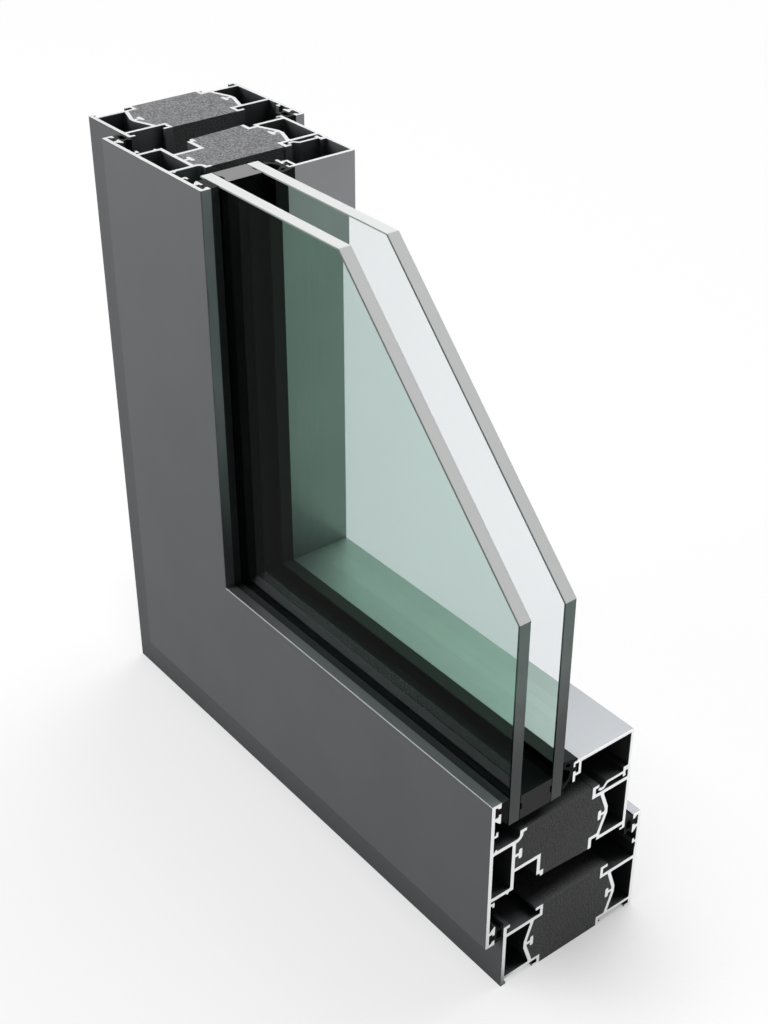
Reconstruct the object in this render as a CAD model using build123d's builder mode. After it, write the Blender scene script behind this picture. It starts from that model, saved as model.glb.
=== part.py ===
from build123d import *
import os

# Lower left corner sample of an aluminium window that opens outwards.
# A frame and a sash, each two aluminium shells joined by a foam core, with double glazing.
# Sections are drawn with x as the depth v, from the sash's outdoor face towards the room,
# and y as the height u, from the frame's outer edge towards the glass. The sill and the
# jamb have the same section, run along each arm and cut on one mitre plane.

# Arms, from the outer corner to the saw cut
SILL_LENGTH = 284.2
JAMB_HEIGHT = 290.8

# Depth of the profiles, and how far the sash stands in front of the frame
PROFILE_DEPTH = 75.5
SASH_STEP = 9.5
FRAME_BACK = SASH_STEP + PROFILE_DEPTH

# Walls, ribs and rounds of the extrusions
WALL = 1.7
ROOM_WALL = 1.5
LIP = 1.5
SOLE_WALL = 1.4
SOLE_LIP = 1.1
RIB_ROOT = 0.7
CHAMBER_ROUND = 0.6
ARRIS_ROUND = 0.4

# Frame shells: heights from the outer edge, depths from each shell's own face
FRAME_SHELL_DEPTH = 21.4
FRAME_SOLE = 3.4
FRAME_CHAMBER = 23.0
FRAME_HOOK = 6.3
FRAME_WEB = FRAME_SOLE + SOLE_WALL + FRAME_CHAMBER
FRAME_RIM = FRAME_WEB + FRAME_HOOK
FRAME_HOOK_REACH = 4.0
SOLE_HOOK_REACH = 3.9
SOLE_STUB_REACH = 2.7
FRAME_FACE_LIP = 3.3
ROOM_COVER = 20.1
FRAME_ROOM_TOP = FRAME_RIM + ROOM_COVER
FRAME_CATCH = 3.3

# The bent web behind each foam core: where it ends, how far it kinks and its flat stretch
SLOPE_SETBACK = 5.2
KINK = 3.6
KINK_FLAT = 3.2
FRAME_SLOPE_END = FRAME_SHELL_DEPTH - SLOPE_SETBACK
FRAME_KINK_DEPTH = FRAME_SLOPE_END - KINK
FRAME_KINK_MIDDLE = FRAME_WEB - FRAME_CHAMBER / 2

# T-shaped keys that hold the foam
KEY_STEM = 1.5
KEY_REACH = 1.9
KEY_HEAD = 1.7
KEY_WIDTH = 5.0
KEY_ROUND = 0.6

# Sash: heights build up from its lower edge, which covers the frame's rim
FACE_OVERLAP = 6.1
SASH_SKIRT = 25.4
SASH_CHAMBER = 23.0
SASH_BASE = FRAME_RIM - FACE_OVERLAP
CHAMBER_BASE = SASH_BASE + SASH_SKIRT
CHAMBER_WEB = CHAMBER_BASE + WALL + SASH_CHAMBER
RAMP_RISE = 5.4
PLATFORM = CHAMBER_WEB + RAMP_RISE
GLASS_PLAY = 6.5
GLASS_COVER = 14.0
GLASS_EDGE_HEIGHT = PLATFORM + GLASS_PLAY
SASH_TOP = GLASS_EDGE_HEIGHT + GLASS_COVER

# Outdoor shell of the sash
CHAMBER_DEPTH = 11.7
RAMP_RUN = 3.7
RAMP_DEPTH = CHAMBER_DEPTH + RAMP_RUN
RAMP_ROUND = 2.6
RAMP_LIP = 3.4
LEG_RISE = 9.3
LEG_HEIGHT = CHAMBER_BASE + LEG_RISE
LEG_REACH = 14.0
LEG_DEPTH = CHAMBER_DEPTH + LEG_REACH
TOE_REACH = 2.2
TOE_DROP = 1.6
SASH_KEY = (LEG_HEIGHT + WALL + CHAMBER_WEB) / 2
CATCH = 1.2
CATCH_REACH = 2.0
CATCH_NECK = 1.0
CATCH_TIP = 1.2
TOP_CATCH = 15.5
SKIRT_CATCH_GAP = 1.2
NIB_HEIGHT = 1.1
NIB_WIDTH = 1.6
UPPER_NIB = 2.4
LOWER_NIB = 9.8
TOE_CUT = 0.5

# Room side shell of the sash
SHELL_DEPTH = 21.2
SHELL_FRONT = PROFILE_DEPTH - SHELL_DEPTH
SHELL_DROP = 0.7
SHELL_SKIRT = 2.5
SHELL_STEP = 2.0
SHELL_STEP_RUN = 4.7
SHELL_HOOK = 6.1
SHELL_HOOK_REACH = 3.4
SHELL_WEB = CHAMBER_BASE - SHELL_DROP
SHELL_BASE = SHELL_WEB - SHELL_SKIRT
SHELL_STEP_DEPTH = SHELL_FRONT + SHELL_STEP_RUN
PLATFORM_WEB = PLATFORM - SHELL_HOOK
SHELL_SLOPE_END = SHELL_FRONT + SLOPE_SETBACK
SHELL_KINK_DEPTH = SHELL_SLOPE_END + KINK
SHELL_KINK_MIDDLE = (SHELL_WEB + SHELL_STEP + WALL + PLATFORM_WEB) / 2
SHELL_KEY_DROP = 0.9
SHELL_KEY = SHELL_KINK_MIDDLE - SHELL_KEY_DROP
SHELL_LIP = 1.0
SHELL_LIP_REACH = 2.9
SHELL_CREST = 0.5
SASH_WALL_TOP = PLATFORM + SHELL_CREST

# Gasket grooves: reach off the wall's inner side, and run from its free edge
GROOVE_DEPTH = 3.0
GROOVE_TIP = 1.2
GROOVE_SLOPE = 0.8
GROOVE_LIP = 2.5
GROOVE_MOUTH = 3.1
GROOVE_EAR = 1.0
GROOVE_STEM = 1.3
GROOVE_TAIL = 2.3
GROOVE_HEAD_START = GROOVE_LIP + GROOVE_MOUTH
GROOVE_STEM_START = GROOVE_HEAD_START + GROOVE_EAR
GROOVE_STEM_END = GROOVE_STEM_START + GROOVE_STEM
GROOVE_HEAD_END = GROOVE_STEM_END + GROOVE_TAIL

# Glass, with its free corner cut off in one straight line
PANE = 6.0
CAVITY = 16.0
PANE_ARRIS = 0.4
GASKET_BED = 3.8
GLASS_FRONT = WALL + GROOVE_DEPTH + GASKET_BED
CAVITY_FRONT = GLASS_FRONT + PANE
INNER_PANE_FRONT = CAVITY_FRONT + CAVITY
GLASS_BACK = INNER_PANE_FRONT + PANE
CUT_ALONG_TOP = 103.2
CUT_DOWN_SIDE = 106.6
SPACER_WIDTH = 11.8
SEALANT = 0.8
SEALANT_START = 5.0
SEALANT_WIDTH = 3.2
BLOCK_LENGTH = 80.0
BLOCK_START = 130.0

# Glazing bead
BEAD_SETBACK = 0.5
BEAD_BACK = PROFILE_DEPTH - BEAD_SETBACK
BEAD_ROOF = 1.5
BEAD_DROP = 0.3
BEAD_WALL = 1.3
WEDGE_BED = 5.5
BEAD_FRONT = GLASS_BACK + WEDGE_BED
POCKET_DEPTH = 2.9
POCKET = 6.5
POCKET_LIP = 2.9
POCKET_HOOK = 0.9
POCKET_HOOK_ROUND = 0.6
POCKET_SILL = 1.2
BEAD_STOP = 10.5
BEAD_CLIP = 3.8
BEAD_CLIP_BARB = 0.5
BEAD_SHELF_DROP = 0.9
BEAD_SHELF_SETBACK = 7.9
BEAD_TOE_GAP = 0.7

# Clearances
SEAL_GAP = 0.2
CLIP_GAP = 0.1
CORE_GAP = 0.3
CLEAT_GAP = 0.3

# Gaskets
VENT = 0.5
BED_TOP = 0.3
BULB_START = 0.4
BULB_LENGTH = 8.4
BULB_BASE = 1.7
BULB_WALL = 0.95
BULB_HOLE = 4.6
BULB_NOTCH = 1.2
BULB_ROUND = 0.4
WEDGE_CREST = 2.9
WEDGE_FLAP_REACH = 2.0
WEDGE_FLAP_END = 1.2
WEDGE_BARB_REACH = 0.7
WEDGE_LIP = 0.5
WEDGE_ROUND = 0.35
WEDGE_ARM = 1.7
WEDGE_PAD = 2.7
WEDGE_PAD_DROP = 11.2
WEDGE_HOLE_WIDTH = 1.6
WEDGE_HOLE_LENGTH = 2.7
WEDGE_HOLE_TILT = 20.0
WEDGE_HOLE_START = 2.3

# Corner cleats
CLEAT_LEG = 78.0
CLEAT_LEAD = 2.5
CLEAT_NOTCH = 2.0

X_LEFT = -SILL_LENGTH / 2
Y_FRONT = -FRAME_BACK / 2
CORNER = (X_LEFT, Y_FRONT, 0)
SILL_PLANE = Plane(origin=CORNER, x_dir=(0, 1, 0), z_dir=(1, 0, 0))
JAMB_PLANE = Plane(origin=(X_LEFT, Y_FRONT, JAMB_HEIGHT), x_dir=(0, 1, 0), z_dir=(0, 0, -1))
MITRE_PLANE = Plane(origin=CORNER, z_dir=(1, 0, -1))
FACE_PLANE = Plane(origin=CORNER, x_dir=(1, 0, 0), z_dir=(0, -1, 0))

# Free edges that carry a gasket groove: inner side, edge height, way in, way along
SASH_TOP_EDGE = (WALL, SASH_TOP, 1, -1)
SASH_BASE_EDGE = (WALL, SASH_BASE, 1, 1)
ROOM_EDGE = (FRAME_BACK - ROOM_WALL, FRAME_ROOM_TOP, -1, -1)


def bar(v_low, v_high, u_low, u_high):
    """A straight wall between two depths and two heights."""
    with Locations((v_low, u_low)):
        Rectangle(v_high - v_low, u_high - u_low, align=(Align.MIN, Align.MIN))


def outline(*points):
    """A closed shape with straight sides."""
    with BuildLine() as border:
        Polyline(*points, close=True)
    make_face(border.edges())


def bent_web(*points, thick=WALL):
    """A wall of even thickness along a bent middle line."""
    with BuildLine() as middle_line:
        Polyline(*points)
    trace(middle_line.line, line_width=thick)


def key(web_depth, middle, way):
    """A T-shaped key on a web's middle line, its rounded head towards way."""
    head_middle = web_depth + way * (WALL / 2 + KEY_REACH + KEY_HEAD / 2)
    near, far = sorted((web_depth, head_middle))
    bar(near, far, middle - KEY_STEM / 2, middle + KEY_STEM / 2)
    with Locations((head_middle, middle)):
        RectangleRounded(KEY_HEAD, KEY_WIDTH, KEY_ROUND)


def on_edge(edge, points):
    """Section points from pairs of reach off a wall's inner side and run from its free edge."""
    inner_side, free_edge, way_in, way_along = edge
    return [(inner_side + way_in * reach, free_edge + way_along * run) for reach, run in points]


def groove(edge):
    """The lip and the T with a slanted tail that hold a gasket along a wall's free edge."""
    tip = GROOVE_DEPTH - GROOVE_TIP
    lip = [
        (-RIB_ROOT, 0),
        (GROOVE_DEPTH, 0),
        (GROOVE_DEPTH, GROOVE_LIP),
        (tip, GROOVE_LIP),
        (tip - GROOVE_SLOPE, LIP),
        (-RIB_ROOT, LIP),
    ]
    tee = [
        (-RIB_ROOT, GROOVE_STEM_START),
        (tip, GROOVE_STEM_START),
        (tip, GROOVE_HEAD_START),
        (GROOVE_DEPTH, GROOVE_HEAD_START),
        (GROOVE_DEPTH, GROOVE_HEAD_END),
        (GROOVE_DEPTH - GROOVE_TIP / 2, GROOVE_HEAD_END),
        (0, GROOVE_STEM_END),
        (-RIB_ROOT, GROOVE_STEM_END),
    ]
    outline(*on_edge(edge, lip))
    outline(*on_edge(edge, tee))


def anchor(edge):
    """The barbed root of a gasket inside the groove of that edge, with a small vent hole."""
    barb = GROOVE_DEPTH - GROOVE_TIP - CLIP_GAP
    neck_low = GROOVE_LIP + CLIP_GAP
    neck_high = GROOVE_HEAD_START - CLIP_GAP
    barb_low = LIP + CLIP_GAP
    barb_high = GROOVE_STEM_START - CLIP_GAP
    root = [
        (GROOVE_DEPTH + CLIP_GAP, neck_low),
        (barb, neck_low),
        (barb - GROOVE_SLOPE, barb_low),
        (CLIP_GAP, barb_low),
        (CLIP_GAP, barb_high),
        (barb, barb_high),
        (barb, neck_high),
        (GROOVE_DEPTH + CLIP_GAP, neck_high),
    ]
    outline(*on_edge(edge, root))
    with Locations(*on_edge(edge, [(barb, (neck_low + neck_high) / 2)])):
        Circle(VENT, mode=Mode.SUBTRACT)


def catch(edge, run):
    """A small hook on a wall's inner side, its stem at a run and its tip towards the free edge."""
    hook = [
        (-RIB_ROOT, run),
        (CATCH_REACH, run),
        (CATCH_REACH, run - CATCH - CATCH_TIP),
        (CATCH_NECK, run - CATCH - CATCH_TIP),
        (CATCH_NECK, run - CATCH),
        (-RIB_ROOT, run - CATCH),
    ]
    outline(*on_edge(edge, hook))


def nib(v_start, web_side, way):
    """A small pointed rib along a web, towards way."""
    outline(
        (v_start, web_side - way * RIB_ROOT),
        (v_start, web_side + way * NIB_HEIGHT / 2),
        (v_start + NIB_WIDTH / 2, web_side + way * NIB_HEIGHT),
        (v_start + NIB_WIDTH, web_side - way * RIB_ROOT),
    )


def chamber_corners(section):
    """The corners of a section's closed chambers, where both sides are long enough to round."""
    corners = []
    for chamber in section.face().inner_wires():
        for corner in chamber.vertices():
            beside = [side for side in chamber.edges() if side.distance_to(corner) < CHAMBER_ROUND / 2]
            if min(side.length for side in beside) > 2 * CHAMBER_ROUND:
                corners.append(corner)
    return corners


def corner_near(section, v, u):
    """The corner of a section nearest to a point."""
    return section.vertices().sort_by_distance((v, u, 0))[0]


# One shell of the frame, depth from its own face; the room side is its mirror image
with BuildSketch() as frame_shell:
    bar(0, WALL, 0, FRAME_RIM)
    bar(0, FRAME_SHELL_DEPTH, FRAME_WEB, FRAME_WEB + WALL)
    bar(0, FRAME_SHELL_DEPTH, FRAME_SOLE, FRAME_SOLE + SOLE_WALL)
    bar(FRAME_SHELL_DEPTH - LIP, FRAME_SHELL_DEPTH, FRAME_WEB, FRAME_RIM)
    bar(FRAME_SHELL_DEPTH - FRAME_HOOK_REACH, FRAME_SHELL_DEPTH, FRAME_RIM - LIP, FRAME_RIM)
    bar(FRAME_SHELL_DEPTH - LIP, FRAME_SHELL_DEPTH, 0, FRAME_SOLE + SOLE_WALL)
    bent_web(
        (FRAME_SLOPE_END, FRAME_WEB + WALL / 2),
        (FRAME_KINK_DEPTH, FRAME_KINK_MIDDLE + KINK_FLAT / 2),
        (FRAME_KINK_DEPTH, FRAME_KINK_MIDDLE - KINK_FLAT / 2),
        (FRAME_SLOPE_END, FRAME_SOLE + SOLE_WALL / 2),
    )
    key(FRAME_KINK_DEPTH, FRAME_KINK_MIDDLE, 1)
    fillet(chamber_corners(frame_shell), CHAMBER_ROUND)

# The two shells in place, each with a long and a short hook along its outer edge
FRAME_SHELL_BACK = SASH_STEP + FRAME_SHELL_DEPTH
FRAME_ROOM_SHELL_FRONT = FRAME_BACK - FRAME_SHELL_DEPTH
with BuildSketch() as frame_outer_section:
    with Locations((SASH_STEP, 0)):
        add(frame_shell.sketch)
    bar(SASH_STEP, SASH_STEP + FRAME_FACE_LIP, FRAME_RIM - LIP, FRAME_RIM)
    bar(SASH_STEP, SASH_STEP + SOLE_STUB_REACH, 0, SOLE_LIP)
    bar(FRAME_SHELL_BACK - SOLE_HOOK_REACH, FRAME_SHELL_BACK, 0, SOLE_LIP)
    fillet(corner_near(frame_outer_section, SASH_STEP, FRAME_RIM), ARRIS_ROUND)

with BuildSketch() as frame_inner_section:
    with Locations((FRAME_BACK, 0)):
        add(mirror(frame_shell.sketch, about=Plane.YZ, mode=Mode.PRIVATE))
    bar(FRAME_BACK - ROOM_WALL, FRAME_BACK, 0, FRAME_ROOM_TOP)
    bar(FRAME_ROOM_SHELL_FRONT, FRAME_ROOM_SHELL_FRONT + SOLE_STUB_REACH, 0, SOLE_LIP)
    bar(FRAME_BACK - SOLE_HOOK_REACH, FRAME_BACK, 0, SOLE_LIP)
    groove(ROOM_EDGE)
    catch(ROOM_EDGE, ROOM_COVER - FRAME_CATCH)
    fillet(corner_near(frame_inner_section, FRAME_BACK, FRAME_ROOM_TOP), ARRIS_ROUND)

FRAME_SLOPE_LOW = FRAME_SOLE + SOLE_WALL / 2
FRAME_SLOPE_HIGH = FRAME_WEB + WALL / 2
FRAME_KINK_LOW = FRAME_KINK_MIDDLE - KINK_FLAT / 2
FRAME_KINK_HIGH = FRAME_KINK_MIDDLE + KINK_FLAT / 2
with BuildSketch() as frame_core_section:
    bar(SASH_STEP + FRAME_SHELL_DEPTH, FRAME_BACK - FRAME_SHELL_DEPTH, 0, FRAME_RIM)
    outline(
        (SASH_STEP + FRAME_SLOPE_END, FRAME_SLOPE_HIGH),
        (SASH_STEP + FRAME_KINK_DEPTH, FRAME_KINK_HIGH),
        (SASH_STEP + FRAME_KINK_DEPTH, FRAME_KINK_LOW),
        (SASH_STEP + FRAME_SLOPE_END, FRAME_SLOPE_LOW),
        (FRAME_BACK - FRAME_SLOPE_END, FRAME_SLOPE_LOW),
        (FRAME_BACK - FRAME_KINK_DEPTH, FRAME_KINK_LOW),
        (FRAME_BACK - FRAME_KINK_DEPTH, FRAME_KINK_HIGH),
        (FRAME_BACK - FRAME_SLOPE_END, FRAME_SLOPE_HIGH),
    )
    add(frame_outer_section.sketch, mode=Mode.SUBTRACT)
    add(frame_inner_section.sketch, mode=Mode.SUBTRACT)

# Outdoor shell of the sash: face wall, closed chamber, ramp up to the glass and a leg
RAMP_MIDDLE = RAMP_DEPTH + WALL / 2
LEG_MIDDLE = LEG_DEPTH + WALL / 2
TOE_DEPTH = LEG_DEPTH + TOE_REACH
TOE_END = TOE_DEPTH + LIP
TOE_BASE = CHAMBER_BASE - TOE_DROP
with BuildSketch() as sash_outer_section:
    bar(0, WALL, SASH_BASE, SASH_TOP)
    groove(SASH_TOP_EDGE)
    groove(SASH_BASE_EDGE)
    catch(SASH_TOP_EDGE, TOP_CATCH + CATCH)
    catch(SASH_BASE_EDGE, SASH_SKIRT - SKIRT_CATCH_GAP)
    nib(UPPER_NIB, CHAMBER_WEB + WALL, 1)
    nib(LOWER_NIB, CHAMBER_BASE, -1)
    bar(0, CHAMBER_DEPTH + WALL, CHAMBER_BASE, CHAMBER_BASE + WALL)
    bar(CHAMBER_DEPTH, CHAMBER_DEPTH + WALL, CHAMBER_BASE, CHAMBER_WEB + WALL)
    with BuildLine():
        FilletPolyline(
            (WALL / 2, CHAMBER_WEB + WALL / 2),
            (RAMP_MIDDLE, CHAMBER_WEB + WALL / 2),
            (RAMP_MIDDLE, PLATFORM - LIP / 2),
            radius=RAMP_ROUND,
        )
    trace(line_width=WALL)
    bar(RAMP_DEPTH, RAMP_DEPTH + RAMP_LIP, PLATFORM - LIP, PLATFORM)
    key(CHAMBER_DEPTH + WALL / 2, SASH_KEY, 1)
    bar(CHAMBER_DEPTH, LEG_DEPTH + WALL, LEG_HEIGHT, LEG_HEIGHT + WALL)
    bar(LEG_DEPTH, LEG_DEPTH + WALL, CHAMBER_BASE, LEG_HEIGHT + WALL)
    outline(
        (LEG_DEPTH, CHAMBER_BASE),
        (TOE_DEPTH - TOE_CUT, CHAMBER_BASE),
        (TOE_DEPTH, TOE_BASE),
        (TOE_END, TOE_BASE),
        (TOE_END, CHAMBER_BASE + SOLE_WALL),
        (LEG_DEPTH, CHAMBER_BASE + SOLE_WALL),
    )
    fillet(chamber_corners(sash_outer_section), CHAMBER_ROUND)
    fillet(
        [corner_near(sash_outer_section, 0, SASH_TOP), corner_near(sash_outer_section, 0, SASH_BASE)],
        ARRIS_ROUND,
    )

# Room side shell of the sash
SHELL_LEDGE = SHELL_WEB + SHELL_STEP
with BuildSketch() as sash_inner_section:
    bar(PROFILE_DEPTH - ROOM_WALL, PROFILE_DEPTH, SHELL_BASE, SASH_WALL_TOP)
    bar(PROFILE_DEPTH - SHELL_LIP_REACH, PROFILE_DEPTH, SASH_WALL_TOP - SHELL_LIP, SASH_WALL_TOP)
    bar(PROFILE_DEPTH - SHELL_LIP_REACH, PROFILE_DEPTH, SHELL_BASE, SHELL_BASE + SHELL_LIP)
    bar(SHELL_FRONT, PROFILE_DEPTH, PLATFORM_WEB, PLATFORM_WEB + WALL)
    bar(SHELL_FRONT, SHELL_FRONT + WALL, PLATFORM_WEB, PLATFORM)
    bar(SHELL_FRONT, SHELL_FRONT + SHELL_HOOK_REACH, PLATFORM - LIP, PLATFORM)
    bar(SHELL_FRONT, SHELL_FRONT + WALL, SHELL_BASE, SHELL_LEDGE + WALL)
    bar(SHELL_FRONT, SHELL_STEP_DEPTH + LIP, SHELL_LEDGE, SHELL_LEDGE + WALL)
    bar(SHELL_STEP_DEPTH, PROFILE_DEPTH, SHELL_WEB, SHELL_WEB + WALL)
    bar(SHELL_STEP_DEPTH, SHELL_STEP_DEPTH + LIP, SHELL_WEB, SHELL_LEDGE + WALL)
    bent_web(
        (SHELL_SLOPE_END, PLATFORM_WEB + WALL / 2),
        (SHELL_KINK_DEPTH, SHELL_KINK_MIDDLE + KINK_FLAT / 2),
        (SHELL_KINK_DEPTH, SHELL_KINK_MIDDLE - KINK_FLAT / 2),
        (SHELL_SLOPE_END, SHELL_LEDGE + WALL / 2),
    )
    key(SHELL_KINK_DEPTH, SHELL_KEY, -1)
    fillet(chamber_corners(sash_inner_section), CHAMBER_ROUND)

with BuildSketch() as sash_core_section:
    outline(
        (CHAMBER_DEPTH + WALL / 2, LEG_HEIGHT + WALL / 2),
        (CHAMBER_DEPTH + WALL / 2, CHAMBER_WEB + WALL / 2),
        (RAMP_MIDDLE, CHAMBER_WEB + WALL / 2),
        (RAMP_MIDDLE, PLATFORM - LIP / 2),
        (RAMP_DEPTH + RAMP_LIP, PLATFORM - LIP / 2),
        (RAMP_DEPTH + RAMP_LIP, PLATFORM - CORE_GAP),
        (SHELL_FRONT, PLATFORM - CORE_GAP),
        (SHELL_FRONT, PLATFORM_WEB + WALL / 2),
        (SHELL_SLOPE_END, PLATFORM_WEB + WALL / 2),
        (SHELL_KINK_DEPTH, SHELL_KINK_MIDDLE + KINK_FLAT / 2),
        (SHELL_KINK_DEPTH, SHELL_KINK_MIDDLE - KINK_FLAT / 2),
        (SHELL_SLOPE_END, SHELL_LEDGE + WALL / 2),
        (SHELL_FRONT, SHELL_LEDGE + WALL / 2),
        (SHELL_FRONT, SHELL_BASE),
        (TOE_END, TOE_BASE),
        (TOE_END, CHAMBER_BASE + SOLE_WALL),
        (LEG_MIDDLE, CHAMBER_BASE + SOLE_WALL),
        (LEG_MIDDLE, LEG_HEIGHT + WALL / 2),
    )
    add(sash_outer_section.sketch, mode=Mode.SUBTRACT)
    add(sash_inner_section.sketch, mode=Mode.SUBTRACT)

# Glazing bead: a boxed cover with a gasket pocket, clipped into the sash's room side shell
BEAD_TOP = SASH_TOP - BEAD_DROP
POCKET_BACK = BEAD_FRONT + POCKET_DEPTH
POCKET_BASE = SASH_TOP - POCKET
CLIP_BACK = PROFILE_DEPTH - SHELL_LIP_REACH - CLIP_GAP
BEAD_SKIRT = SASH_WALL_TOP + CLIP_GAP
CLIP_BASE = BEAD_SKIRT - BEAD_CLIP
BEAD_SHELF = PLATFORM - BEAD_SHELF_DROP
BEAD_SHELF_START = SHELL_FRONT + BEAD_SHELF_SETBACK
BEAD_TOE = SHELL_FRONT + SHELL_HOOK_REACH
BEAD_TOE_HEIGHT = PLATFORM_WEB + WALL + BEAD_TOE_GAP + BEAD_WALL
with BuildSketch() as bead_section:
    bar(POCKET_BACK, BEAD_BACK, BEAD_TOP - BEAD_ROOF, BEAD_TOP)
    bar(BEAD_FRONT, POCKET_BACK + BEAD_WALL, BEAD_TOP - BEAD_WALL, BEAD_TOP)
    bar(BEAD_FRONT, BEAD_FRONT + POCKET_HOOK, SASH_TOP - POCKET_LIP, BEAD_TOP)
    bar(POCKET_BACK, POCKET_BACK + BEAD_WALL, POCKET_BASE - BEAD_WALL, BEAD_TOP)
    bar(BEAD_FRONT, POCKET_BACK + BEAD_WALL, POCKET_BASE - BEAD_WALL, POCKET_BASE)
    bar(BEAD_FRONT, BEAD_FRONT + BEAD_WALL, SASH_TOP - BEAD_STOP, POCKET_BASE + POCKET_SILL)
    bar(BEAD_BACK - BEAD_WALL, BEAD_BACK, BEAD_SKIRT, BEAD_TOP)
    bar(CLIP_BACK - BEAD_WALL, BEAD_BACK, BEAD_SKIRT, BEAD_SKIRT + BEAD_WALL)
    bar(CLIP_BACK - BEAD_WALL, CLIP_BACK, CLIP_BASE, BEAD_SKIRT + BEAD_WALL)
    outline(
        (CLIP_BACK - BEAD_WALL, CLIP_BASE),
        (CLIP_BACK, CLIP_BASE),
        (CLIP_BACK + BEAD_CLIP_BARB, CLIP_BASE + BEAD_CLIP_BARB),
        (CLIP_BACK, CLIP_BASE + 2 * BEAD_CLIP_BARB),
    )
    bent_web(
        (CLIP_BACK - BEAD_WALL / 2, BEAD_SHELF),
        (BEAD_SHELF_START, BEAD_SHELF),
        (BEAD_TOE + 2 * BEAD_WALL, BEAD_TOE_HEIGHT - BEAD_WALL / 2),
        (BEAD_TOE + BEAD_WALL, BEAD_TOE_HEIGHT - BEAD_WALL / 2),
        (BEAD_TOE, BEAD_TOE_HEIGHT),
        thick=BEAD_WALL,
    )
    fillet(corner_near(bead_section, BEAD_BACK, BEAD_TOP), ARRIS_ROUND)
    fillet(corner_near(bead_section, BEAD_FRONT, BEAD_TOP), POCKET_HOOK_ROUND)


def save(piece, name):
    """Label a finished piece and write it."""
    piece.part.label = name
    export_step(piece.part, f"parts/{name}.step")


def mitred_pair(section, sill_name, jamb_name):
    """Run a section along the sill and down the jamb, cut both on the mitre, and write them."""
    with BuildPart() as sill_member:
        with BuildSketch(SILL_PLANE):
            add(section.sketch)
        extrude(amount=SILL_LENGTH)
        split(bisect_by=MITRE_PLANE, keep=Keep.TOP)
    save(sill_member, sill_name)
    with BuildPart() as jamb_member:
        with BuildSketch(JAMB_PLANE):
            add(section.sketch)
        extrude(amount=JAMB_HEIGHT)
        split(bisect_by=MITRE_PLANE, keep=Keep.BOTTOM)
    save(jamb_member, jamb_name)


def pane(depth, name):
    """One sheet of glass with its free corner cut off and its edges seamed."""
    with BuildPart() as sheet:
        with BuildSketch(FACE_PLANE.offset(-depth)):
            outline(
                (GLASS_EDGE_HEIGHT, GLASS_EDGE_HEIGHT),
                (SILL_LENGTH, GLASS_EDGE_HEIGHT),
                (SILL_LENGTH, JAMB_HEIGHT - CUT_DOWN_SIDE),
                (SILL_LENGTH - CUT_ALONG_TOP, JAMB_HEIGHT),
                (GLASS_EDGE_HEIGHT, JAMB_HEIGHT),
            )
        extrude(amount=-PANE)
        chamfer(sheet.faces().filter_by(Axis.Y).edges(), PANE_ARRIS)
    save(sheet, name)


def setting_block(plane, name):
    """A block that carries the glass on the sash, along one arm."""
    with BuildPart() as block:
        with BuildSketch(plane):
            bar(GLASS_FRONT, GLASS_BACK, PLATFORM, GLASS_EDGE_HEIGHT)
        extrude(amount=BLOCK_LENGTH)
    save(block, name)


def cleat(v_low, v_high, u_low, u_high, name):
    """A corner block in the chambers of two mitred members, notched for crimping."""
    near = u_low + CLEAT_GAP
    far = u_high - CLEAT_GAP
    end = far + CLEAT_LEG
    notch = far + CLEAT_LEG / 2
    with BuildPart() as block:
        with BuildSketch(FACE_PLANE.offset(-v_low - CLEAT_GAP)):
            outline(
                (near, near),
                (end - CLEAT_LEAD, near),
                (end, near + CLEAT_LEAD),
                (end, far - CLEAT_LEAD),
                (end - CLEAT_LEAD, far),
                (notch + CLEAT_NOTCH, far),
                (notch, far - CLEAT_NOTCH),
                (notch - CLEAT_NOTCH, far),
                (far, far),
                (far, notch - CLEAT_NOTCH),
                (far - CLEAT_NOTCH, notch),
                (far, notch + CLEAT_NOTCH),
                (far, end - CLEAT_LEAD),
                (far - CLEAT_LEAD, end),
                (near + CLEAT_LEAD, end),
                (near, end - CLEAT_LEAD),
            )
        extrude(amount=-(v_high - v_low - 2 * CLEAT_GAP))
    save(block, name)


os.makedirs("parts", exist_ok=True)

mitred_pair(frame_outer_section, "frame_sill_outer", "frame_jamb_outer")
mitred_pair(frame_inner_section, "frame_sill_inner", "frame_jamb_inner")
mitred_pair(frame_core_section, "frame_sill_core", "frame_jamb_core")
mitred_pair(sash_outer_section, "sash_rail_outer", "sash_stile_outer")
mitred_pair(sash_inner_section, "sash_rail_inner", "sash_stile_inner")
mitred_pair(sash_core_section, "sash_rail_core", "sash_stile_core")
mitred_pair(bead_section, "bead_rail", "bead_stile")

# Glass unit: two panes, the spacer with its edge seal, and a sealant strip on each pane
pane(GLASS_FRONT, "outer_pane")
pane(INNER_PANE_FRONT, "inner_pane")
SEALANT_LOW = GLASS_EDGE_HEIGHT + SEALANT_START
with BuildSketch() as outer_sealant_section:
    bar(CAVITY_FRONT, CAVITY_FRONT + SEALANT, SEALANT_LOW, SEALANT_LOW + SEALANT_WIDTH)
with BuildSketch() as inner_sealant_section:
    bar(INNER_PANE_FRONT - SEALANT, INNER_PANE_FRONT, SEALANT_LOW, SEALANT_LOW + SEALANT_WIDTH)
with BuildSketch() as spacer_section:
    bar(CAVITY_FRONT, INNER_PANE_FRONT, GLASS_EDGE_HEIGHT, GLASS_EDGE_HEIGHT + SPACER_WIDTH)
    add(outer_sealant_section.sketch, mode=Mode.SUBTRACT)
    add(inner_sealant_section.sketch, mode=Mode.SUBTRACT)
mitred_pair(spacer_section, "spacer_rail", "spacer_stile")
mitred_pair(outer_sealant_section, "outer_sealant_rail", "outer_sealant_stile")
mitred_pair(inner_sealant_section, "inner_sealant_rail", "inner_sealant_stile")
setting_block(SILL_PLANE.offset(BLOCK_START), "setting_block_rail")
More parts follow.
